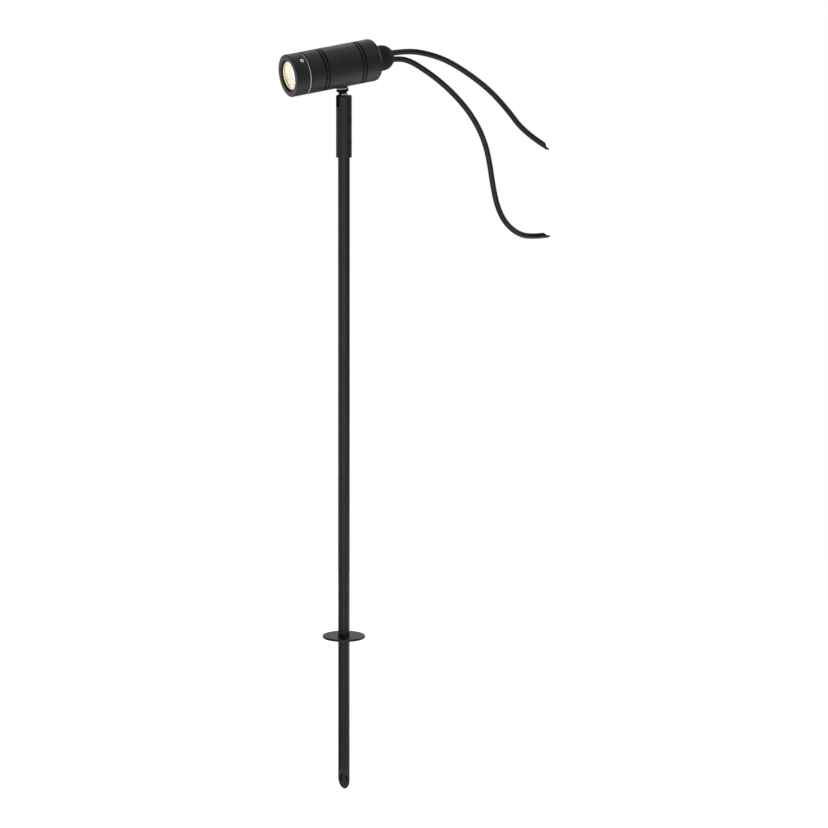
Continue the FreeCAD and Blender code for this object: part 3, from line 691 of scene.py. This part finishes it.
def makeReflector():
    # a pressed glass bowl whose inside, bright with painted light, is broken into rings of small raised facets
    low, high = localBox("lamp_reflector", headPlace)
    size, front, neck = lamp, low.x, high.x
    radius, soft = high.z, size["rimRounding"]
    coverRadius = radius - size["wall"]
    bowl = coverRadius - size["wall"]
    rimBack, seat = front + size["rimWidth"], front + size["glassSeat"]
    innerBack = neck - size["wall"]
    out, far = size["bellyOut"], size["bellyBack"]
    outerMiddle = (rimBack + far * (neck - rimBack),
                   size["neckRadius"] + out * (coverRadius - size["neckRadius"]))
    innerMiddle = (seat + far * (innerBack - seat),
                   size["neckBore"] + out * (bowl - size["wall"] - size["neckBore"]))
    profile = [(front, coverRadius), (front, radius, soft), (rimBack, radius, soft),
               (rimBack, coverRadius)]
    profile += arcCorners((rimBack, coverRadius), outerMiddle, (neck, size["neckRadius"]),
                          count=12)
    profile += [(neck, size["neckBore"]), (innerBack, size["neckBore"])]
    profile += arcCorners((innerBack, size["neckBore"]), innerMiddle, (seat, bowl),
                          count=size["facetRings"])
    profile += [(seat, coverRadius)]
    shape = lathe(profile, size["facetSteps"], rounds=3)
    facets = []
    for face in shape.faces:
        middle = face.calc_center_median()
        fromAxis = math.hypot(middle.y, middle.z) / mm
        inward = face.normal.y * middle.y + face.normal.z * middle.z < 0
        if inward and seat < middle.x / mm < innerBack and size["neckBore"] < fromAxis < bowl:
            facets.append(face)
    bmesh.ops.inset_individual(shape, faces=facets, thickness=size["facetGap"] * mm,
                               depth=size["facetRise"] * mm)
    addPiece("lamp_reflector", shape, headPlace, ["litReflector"])


def makeCapsule():
    # the lit quartz burner in the middle of the bowl, domed at its front
    low, high = localBox("lamp_capsule", headPlace)
    shape = lathe([(low.x, 0), (low.x, high.z, high.z * lamp["capsuleDome"]), (high.x, high.z),
                   (high.x, 0)], steps=48, rounds=10)
    addPiece("lamp_capsule", shape, headPlace, ["litCapsule"])


# cable gland

gland = {
    "nippleBore": 6.7, "nippleRadius": 8.0, "flange": 1.8, "neckRadius": 10.5,
    "insertSeat": 8.95, "rounding": 0.2,
    "nutBore": 10.55, "nutStraight": 6.1, "shoulderLength": 12.2, "shoulderRadius": 11.15,
    "nutEndRadius": 8.0, "noseHole": 7.15, "noseRadius": 7.1, "noseChamfer": 0.5,
    "noseRounding": 0.3, "nutPlay": 0.05, "cableHole": 2.95,
}


def makeGland():
    # a moulded gland: body with a flange, domed nut, and a rubber plug round both cables
    size, soft = gland, gland["rounding"]
    bodyLow, bodyHigh = localBox("gland_body", headPlace)
    nutLow, nutHigh = localBox("gland_nut", headPlace)
    plugLow, plugHigh = localBox("gland_insert", headPlace)
    face = localBox("gland_seal", headPlace)[1].x
    flangeBack = face + size["flange"]
    shape = lathe([(bodyLow.x, size["nippleBore"]), (bodyLow.x, size["nippleRadius"], soft),
                   (face, size["nippleRadius"]), (face, bodyHigh.z, soft),
                   (flangeBack, bodyHigh.z, soft), (flangeBack, size["neckRadius"]),
                   (bodyHigh.x, size["neckRadius"], soft), (bodyHigh.x, size["insertSeat"]),
                   (plugLow.x, size["insertSeat"]), (plugLow.x, size["nippleBore"])])
    addPiece("gland_body", shape, headPlace, ["mouldedNylon"])

    straight = (nutLow.x + size["nutStraight"], nutHigh.z)
    dome = arcCorners(straight, (nutLow.x + size["shoulderLength"], size["shoulderRadius"]),
                      (nutHigh.x, size["nutEndRadius"]), count=16)
    hollow = bodyHigh.x + size["nutPlay"]
    shape = lathe([(nutLow.x, size["nutBore"]), (nutLow.x, nutHigh.z, soft), straight] + dome
                  + [(nutHigh.x, size["noseHole"], size["noseRounding"]),
                     (hollow, size["noseHole"]), (hollow, size["nutBore"])], steps=128)
    addPiece("gland_nut", shape, headPlace, ["mouldedNylon"])

    shape = lathe([(plugLow.x, 0), (plugLow.x, plugHigh.z), (bodyHigh.x, plugHigh.z),
                   (bodyHigh.x, size["noseRadius"]),
                   (plugHigh.x, size["noseRadius"], size["noseChamfer"]), (plugHigh.x, 0)])
    holes = cablePair(size["cableHole"], plugLow.x - past, plugHigh.x + past)
    addPiece("gland_insert", carved(shape, holes), headPlace, ["sealRubber"])


# cables

cable = {
    "diameter": 5.8, "offset": 3.2, "inset": 10.0, "cutLength": 6.5,
    "coreRadius": 0.9, "coreSpacing": 2.4, "coreDrop": 1.2, "coreReaches": (1.5, 0.9),
    "coreRounding": 0.2, "coreRoot": 0.3,
    "sheathWall": 0.85, "sheathRecess": 0.25,
}

# steps from the middle of the gland's mouth to the corners that each cable follows
cables = {
    "upper_cable": {
        "side": 1, "leadOut": 16.6, "tubeLength": 230.7,
        "route": [(46.1, 2, -0.5), (75.1, 6, -12), (115.6, 12, -38), (141.1, 15, -62),
                  (162.1, 15, -88), (183.6, 13, -102)]},
    "lower_cable": {
        "side": -1, "leadOut": 4.0, "tubeLength": 295.3,
        "route": [(19.6, 0, -5), (36.1, -2, -15), (56.1, -5.5, -30), (75.6, -10, -50),
                  (88.1, -12.5, -67), (97.1, -14, -84), (104.1, -15, -104.5), (111.1, -15, -146),
                  (118.6, -14, -167), (130.6, -12, -182), (147.1, -9, -192), (164.1, -6, -194.5),
                  (175.1, -4, -194.5)]},
}


def cablePair(radius, start, end):
    # two rods along the head, where the cables go through the gland
    return [placed(rodShape(radius, start, end), Matrix.Translation((0, 0, height * mm)))
            for height in (cable["offset"], -cable["offset"])]


def cablePoints(size):
    # the corners of one cable in metres, from inside the gland to its cut end
    mouth = localBox("gland_insert", headPlace)[1].x
    height = size["side"] * cable["offset"]
    points = [headPlace @ Vector((station * mm, 0, height * mm))
              for station in (mouth - cable["inset"], mouth + size["leadOut"])]
    middle = headPlace @ Vector((mouth * mm, 0, 0))
    return points + [middle + Vector(step) * mm for step in size["route"]]


def makeCables():
    # two stiff rubber cables, each one smooth line, with their ends cut off slanting
    for node, size in cables.items():
        points, name = cablePoints(size), pieceName(node)
        line = bpy.data.curves.new(name, "CURVE")
        line.dimensions = "3D"
        line.bevel_depth = cable["diameter"] / 2 * mm
        line.bevel_resolution = 10
        line.resolution_u = 16
        line.use_fill_caps = True
        spline = line.splines.new("NURBS")
        spline.points.add(len(points) - 1)
        for knot, point in zip(spline.points, points):
            knot.co = (*point, 1)
        spline.order_u = 3
        spline.use_endpoint_u = True
        spline.use_smooth = True
        line.materials.append(everyMaterial["cableRubber"])
        cord = newObject(name, line)
        dress(cord, node)
        end = makeCableEnd(node + "_end", points)


def makeCableEnd(node, points):
    # the slanting cut, with two cores side by side in its lower half
    way = (points[-1] - points[-2]).normalized()
    side = Vector((0, 0, 1)).cross(way).normalized()
    place = axesPlace(points[-1], way, side, way.cross(side))
    radius, cut = cable["diameter"] / 2, cable["cutLength"]
    shape = rodShape(radius, 0, cut)
    rim = slicedOff(shape, (0, 0, radius * mm), (2 * radius, 0, cut))
    face = bmesh.ops.contextual_create(shape, geom=rim)["faces"]
    bmesh.ops.recalc_face_normals(shape, faces=shape.faces[:])
    bmesh.ops.inset_region(shape, faces=face, thickness=cable["sheathWall"] * mm,
                           depth=-cable["sheathRecess"] * mm)
    for part in face:
        part.material_index = 1
    cores = []
    for shift, reach in zip((-0.5, 0.5), cable["coreReaches"]):
        core = rodShape(cable["coreRadius"], cable["coreRoot"], cut + reach, cable["coreRounding"],
                        steps=32)
        for part in core.faces:
            part.material_index = 1
        cores.append(placed(core, Matrix.Translation((0, shift * cable["coreSpacing"] * mm,
                                                      -cable["coreDrop"] * mm))))
    return addPiece(node, joined([shape] + cores), place, ["cableRubberEnd", "coreInsulation"])


def makeCableEntries():
    # the straight stretches of both cables inside the gland
    low, high = localBox("cable_entries", headPlace)
    addPiece("cable_entries", joined(cablePair(cable["diameter"] / 2, low.x, high.x)), headPlace,
             ["cableRubberEnd"])


# materials

noiseSpan = {"From Min": 0.3, "From Max": 0.7}  # nearly all values of a noise lie between these
usualIor = 1.5            # of plastics and rubber
paintedLampGlow = "#ffe6b0"     # painted glow: the colour painted on a clear part beside the lamp for the lamp's light shining out of it


def hexColour(code):
    # a screen colour such as #1d1e20, made linear
    channels = [int(code[i:i + 2], 16) / 255 for i in (1, 3, 5)]
    linear = [c / 12.92 if c <= 0.04045 else ((c + 0.055) / 1.055) ** 2.4 for c in channels]
    return (*linear, 1.0)


def newMaterial(name):
    # a new surface, kept under its name, with the coordinates that its patterns follow
    material = bpy.data.materials.new(name)
    material.use_nodes = True
    everyMaterial[name] = material
    tree = material.node_tree
    return tree, tree.nodes["Principled BSDF"], addNode(tree, "ShaderNodeTexCoord", {}, "Object")


def fillSockets(tree, node, sockets):
    # each socket takes a value, or a link from another node's output
    for name, value in sockets.items():
        socket = next(entry for entry in node.inputs if entry.name == name and entry.enabled)
        if isinstance(value, bpy.types.NodeSocket):
            tree.links.new(value, socket)
        else:
            socket.default_value = value


def addNode(tree, kind, sockets, output=None, stops=(), **settings):
    # a node with its settings and links, given back as the output that the next one takes
    node = tree.nodes.new(kind)
    for name, value in settings.items():
        setattr(node, name, value)
    fillSockets(tree, node, sockets)
    for k, (position, colour) in enumerate(stops):
        stop = node.color_ramp.elements[k] if k < 2 else node.color_ramp.elements.new(position)
        stop.position, stop.color = position, colour
    return next(entry for entry in node.outputs if entry.enabled and output in (None, entry.name))


def fillFinish(tree, shader, finish, tint, gloss, relief):
    # what most finishes share: two colours, a spread of roughness, and bumps of given depths
    colour = addNode(tree, "ShaderNodeMix", {"Factor": tint, "A": hexColour(finish["dark"]),
                                             "B": hexColour(finish["light"])}, data_type="RGBA")
    smooth, rough = finish["roughness"]
    shine = addNode(tree, "ShaderNodeMapRange", {
        "Value": gloss, "To Min": smooth, "To Max": rough, **noiseSpan})
    normal = {}
    for height, deep in relief:
        bump = addNode(tree, "ShaderNodeBump", {"Height": height, "Distance": deep * mm, **normal})
        normal = {"Normal": bump}
    fillSockets(tree, shader, {"Base Color": colour, "Roughness": shine, **normal})


powderCoats = {
    "tubePowderCoat": {
        "dark": "#191a1b", "light": "#202122", "roughness": (0.34, 0.44), "cloudMm": 18,
        "peelMm": 1.6, "peelDeepMm": 0.010, "grainMm": 0.45, "grainDeepMm": 0.004},
    "headPowderCoat": {
        "dark": "#18191a", "light": "#232425", "roughness": (0.40, 0.50), "cloudMm": 18,
        "peelMm": 1.1, "peelDeepMm": 0.008, "grainMm": 0.40, "grainDeepMm": 0.008},
}


def makePowderCoats():
    # polyester powder baked on metal: satin black, with a slight orange peel under a fine grain,
    # both a little coarser than real ones so that they show
    for name, finish in powderCoats.items():
        tree, shader, place = newMaterial(name)
        peel, grain, cloud = (addNode(tree, "ShaderNodeTexNoise", {
            "Vector": place, "Scale": 1 / (finish[size] * mm), "Detail": detail})
            for size, detail in (("peelMm", 1.0), ("grainMm", 2.0), ("cloudMm", 3.0)))
        fillFinish(tree, shader, finish, grain, cloud,
                   [(peel, finish["peelDeepMm"]), (grain, finish["grainDeepMm"])])


# each soft or moulded finish: colours, roughness, speck size and depth
plainFinishes = {
    "mouldedNylon": {  # glass-filled nylon, spark-eroded mould grain
        "dark": "#212223", "light": "#2a2b2c", "roughness": (0.60, 0.72), "speckMm": 0.35,
        "deepMm": 0.007, "ior": 1.35},
    "sealRubber": {  # moulded rubber, matt and slightly dusty
        "dark": "#121213", "light": "#19191a", "roughness": (0.62, 0.75), "speckMm": 0.5,
        "deepMm": 0.006},
    "cableRubberEnd": {  # extruded rubber, cut
        "dark": "#141415", "light": "#1c1c1d", "roughness": (0.45, 0.6), "speckMm": 0.5,
        "deepMm": 0.008},
    "gasketSilicone": {  # moulded pale grey silicone, matt
        "dark": "#d6d6d1", "light": "#e8e8e3", "roughness": (0.5, 0.6), "speckMm": 0.6,
        "deepMm": 0.005},
    "sealSilicone": {  # clear silicone, with a painted glow for the lamp's light through it
        "dark": "#b9b6ac", "light": "#cfccc2", "roughness": (0.4, 0.5), "speckMm": 0.6,
        "deepMm": 0.004, "glow": 0.8},
    "washerNylon": {  # natural nylon, turned, pale and slightly waxy
        "dark": "#d0d0ca", "light": "#e2e2dc", "roughness": (0.35, 0.45), "speckMm": 0.5,
        "deepMm": 0.004},
    "mattBlack": {  # dead black anodising, which takes no shine
        "dark": "#040404", "light": "#080808", "roughness": (0.6, 0.75), "speckMm": 0.4,
        "deepMm": 0.005, "ior": 1.25},
    "steatite": {  # unglazed pressed ceramic, chalky
        "dark": "#cfcabd", "light": "#e0dccf", "roughness": (0.55, 0.7), "speckMm": 0.3,
        "deepMm": 0.008},
    "connectorPlastic": {  # moulded polypropylene, waxy
        "dark": "#d6d6cf", "light": "#e4e4de", "roughness": (0.3, 0.4), "speckMm": 1.2,
        "deepMm": 0.003},
    "coreInsulation": {  # thin extruded silicone over fine strands
        "dark": "#131314", "light": "#1b1b1c", "roughness": (0.38, 0.5), "speckMm": 0.3,
        "deepMm": 0.004},
}
mottleMm = 9  # how large the paler and darker places of these finishes are


def makePlainFinishes():
    # mottled in colour and shine, with a fine moulded or cut surface
    for name, finish in plainFinishes.items():
        tree, shader, place = newMaterial(name)
        speck, cloud = (addNode(tree, "ShaderNodeTexNoise", {
            "Vector": place, "Scale": 1 / (size * mm), "Detail": detail})
            for size, detail in ((finish["speckMm"], 3.0), (mottleMm, 2.0)))
        fillFinish(tree, shader, finish, cloud, speck, [(speck, finish["deepMm"])])
        # the emission is painted light, for the lamp's light in a clear part; most finishes take none
        fillSockets(tree, shader, {"IOR": finish.get("ior", usualIor),
                                   "Emission Color": hexColour(paintedLampGlow),
                                   "Emission Strength": finish.get("glow", 0.0)})


cableFinish = {"dark": "#121213", "light": "#1e1e1f", "roughness": (0.34, 0.48), "ridgeMm": 0.45,
               "ridgeDeepMm": 0.010, "streakMm": 30, "handledMm": 14}


def makeCableRubber():
    # extruded rubber sheath: fine drawn lines along the cable, satin where it has been handled
    tree, shader, place = newMaterial("cableRubber")
    finish = cableFinish
    along = addNode(tree, "ShaderNodeTexCoord", {}, "UV")  # the first runs round, the second along
    girth = math.pi * cable["diameter"]
    length = sum(size["tubeLength"] for size in cables.values()) / len(cables)
    lines = addNode(tree, "ShaderNodeMapping", {"Vector": along, "Scale": (
        girth / finish["ridgeMm"], length / finish["streakMm"], 1)})
    drawn = addNode(tree, "ShaderNodeTexNoise", {"Vector": lines, "Scale": 1.0, "Detail": 2.0})
    handled = addNode(tree, "ShaderNodeTexNoise", {
        "Vector": place, "Scale": 1 / (finish["handledMm"] * mm), "Detail": 2.0})
    fillFinish(tree, shader, finish, handled, handled, [(drawn, finish["ridgeDeepMm"])])


# each metal: colours, roughness, and the spacing and length of its tool marks, which are drawn
# coarser than real ones so that they show
metals = {
    "platedFlats": {  # zinc, passivated pale yellow
        "dark": "#c0c594", "light": "#e8ecbe", "roughness": (0.22, 0.36), "markMm": (0.12, 4, 4),
        "deepMm": 0.003},
    "screwStainless": {  # A2 stainless, turned
        "dark": "#e6e5e2", "light": "#f8f7f5", "roughness": (0.12, 0.22),
        "markMm": (0.15, 0.15, 0.15), "deepMm": 0.002},
    "blackenedSteel": {  # oiled black oxide
        "dark": "#333334", "light": "#464647", "roughness": (0.32, 0.45),
        "markMm": (0.3, 0.3, 0.3), "deepMm": 0.003},
    "turnedAluminium": {  # bare turned bar
        "dark": "#b5b7b9", "light": "#d4d5d6", "roughness": (0.25, 0.4), "markMm": (3, 3, 0.2),
        "deepMm": 0.004},
    "screwBrass": {  # bare brass
        "dark": "#b8924a", "light": "#dcbc74", "roughness": (0.2, 0.32), "markMm": (0.2, 0.2, 0.2),
        "deepMm": 0.003},
}


def makeMetals():
    # bright or blackened metal with fine tool marks
    for name, finish in metals.items():
        tree, shader, place = newMaterial(name)
        spacing = addNode(tree, "ShaderNodeMapping", {"Vector": place, "Scale": [
            1 / (size * mm) for size in finish["markMm"]]})
        marks = addNode(tree, "ShaderNodeTexNoise", {
            "Vector": spacing, "Scale": 1.0, "Detail": 2.0})
        fillFinish(tree, shader, finish, marks, marks, [(marks, finish["deepMm"])])
        fillSockets(tree, shader, {"Metallic": 1.0})


# clear float glass, with smears, and a faint painted glow in it for the lit lamp's light
glassFinish = {"colour": "#fbfcfa", "ior": 1.46, "smearMm": 7, "smearSpan": (0.4, 0.8),
               "roughness": (0.0, 0.04), "haze": "#fff0cf", "paintedGlowStrength": 0.06}


def makeGlass():
    # polished, faintly smeared, with a faint painted glow for the lamp's light
    tree, shader, place = newMaterial("clearGlass")
    finish = glassFinish
    smear = addNode(tree, "ShaderNodeTexNoise", {
        "Vector": place, "Scale": 1 / (finish["smearMm"] * mm), "Detail": 3.0})
    (least, most), (smooth, rough) = finish["smearSpan"], finish["roughness"]
    shine = addNode(tree, "ShaderNodeMapRange", {
        "Value": smear, "From Min": least, "From Max": most, "To Min": smooth, "To Max": rough})
    # the haze colour and its strength feed the emission: painted light, for the lamp's light in the glass
    fillSockets(tree, shader, {"Base Color": hexColour(finish["colour"]), "Roughness": shine,
                               "IOR": finish["ior"], "Transmission Weight": 1.0,
                               "Emission Color": hexColour(finish["haze"]),
                               "Emission Strength": finish["paintedGlowStrength"]})


# painted light on the bowl, by millimetres behind the front face: a painted glow for the capsule's light,
# yellow at its rim, creamy white inside, peach towards its top, and painted shade between its facets towards its
# foot
bowlPaintedLight = {
    "stops": [(8.0, "#fff8d2"), (9.5, "#f8ecc6"), (12.0, "#d8ceb4"), (16.0, "#bdb5a3"),
              (26.0, "#b2ab9c")],
    "peach": "#cda87c", "peachHeights": (2, 12), "peachShares": (0.0, 0.8),
    "shade": "#3c372b", "shadeHeights": (7, -5), "shadeShares": (0.1, 1.1), "shadeMm": 1.7,
    "strength": 0.94, "mirror": "#4c4a44", "roughness": 0.18,
}
capsuleGlow = {"quartz": "#e8e4da", "cooler": "#ffe9bf", "hotter": "#fffbef", "hazeMm": 1.5,
               "roughness": 0.1, "strength": 1.6}


def makeLamp():
    # a dichroic bowl whose light from inside is painted on as glow and shade, and the hot quartz capsule that
    # lights it
    tree, shader, place = newMaterial("litReflector")
    finish, toHead = bowlPaintedLight, headPlace.inverted()
    local = addNode(tree, "ShaderNodeMapping", {
        "Vector": place, "Location": toHead.translation, "Rotation": toHead.to_euler()})
    depth = addNode(tree, "ShaderNodeSeparateXYZ", {"Vector": local}, "X")
    height = addNode(tree, "ShaderNodeSeparateXYZ", {"Vector": local}, "Z")
    span = finish["stops"][-1][0]
    share = addNode(tree, "ShaderNodeMapRange", {"Value": depth, "From Max": span * mm})
    glow = addNode(tree, "ShaderNodeValToRGB", {"Fac": share}, stops=[
        (position / span, hexColour(colour)) for position, colour in finish["stops"]])
    upper, lower = (addNode(tree, "ShaderNodeMapRange", {
        "Value": height, "From Min": finish[heights][0] * mm, "From Max": finish[heights][1] * mm,
        "To Min": finish[shares][0], "To Max": finish[shares][1]})
        for heights, shares in (("peachHeights", "peachShares"), ("shadeHeights", "shadeShares")))
    warm = addNode(tree, "ShaderNodeMix", {
        "Factor": upper, "A": glow, "B": hexColour(finish["peach"])}, data_type="RGBA")
    patch = addNode(tree, "ShaderNodeTexVoronoi", {
        "Vector": local, "Scale": 1 / (finish["shadeMm"] * mm)})
    dim = addNode(tree, "ShaderNodeMath", {}, operation="MULTIPLY")
    tree.links.new(patch, dim.node.inputs[0])
    tree.links.new(lower, dim.node.inputs[1])
    # painted shade between the facets, laid over the painted glow towards the bowl's foot
    mottled = addNode(tree, "ShaderNodeMix", {
        "Factor": dim, "A": warm, "B": hexColour(finish["shade"])}, data_type="RGBA")
    # the emission is painted light: the capsule's light on the bowl, not a glow of its own
    fillSockets(tree, shader, {"Base Color": hexColour(finish["mirror"]), "Metallic": 1.0,
                               "Roughness": finish["roughness"], "Emission Color": mottled,
                               "Emission Strength": finish["strength"]})

    tree, shader, place = newMaterial("litCapsule")
    finish = capsuleGlow
    haze = addNode(tree, "ShaderNodeTexNoise", {
        "Vector": place, "Scale": 1 / (finish["hazeMm"] * mm), "Detail": 2.0})
    heat = addNode(tree, "ShaderNodeMix", {"Factor": haze, "A": hexColour(finish["cooler"]),
                                           "B": hexColour(finish["hotter"])}, data_type="RGBA")
    fillSockets(tree, shader, {"Base Color": hexColour(finish["quartz"]),
                               "Roughness": finish["roughness"], "Emission Color": heat,
                               "Emission Strength": finish["strength"]})


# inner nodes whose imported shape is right, and the finish that each one takes
innerNodes = {
    "pole_joiners": "turnedAluminium", "lamp_base": "steatite", "lamp_pins": "screwStainless",
    "lamp_holder": "steatite", "holder_plate": "screwStainless",
    "holder_plate_screws": "screwStainless", "lamp_leads": "coreInsulation",
    "terminal_block": "connectorPlastic", "terminal_screws": "screwBrass",
    "cable_cores": "coreInsulation",
}


def finishInnerNodes():
    # parts that only show when the light is taken apart
    for node, finish in innerNodes.items():
        for entry in frame["nodes"][node].material_slots:
            entry.material = everyMaterial[finish]


# the whole light

for stage, makers in {
    "finishes": (makePowderCoats, makePlainFinishes, makeCableRubber, makeMetals, makeGlass,
                 makeLamp),
    "camera and cables": (makeCamera, makeCables, makeCableEntries),
    "pole": (makePole, makeGroundDisc, makeSpike),
    "sleeve and pivot": (makeSleeve, makeSleeveScrews, makeKnuckle, makeLockRing),
    "head": (makeHeadBody, makeBezel, makeGrubScrews, makeRings),
    "lamp and gland": (makeReflector, makeCapsule, makeGland),
    "inner parts and studio": (finishInnerNodes, makeStudio, makeLights),
}.items():
    for make in makers:
        make()
    print("made", stage)
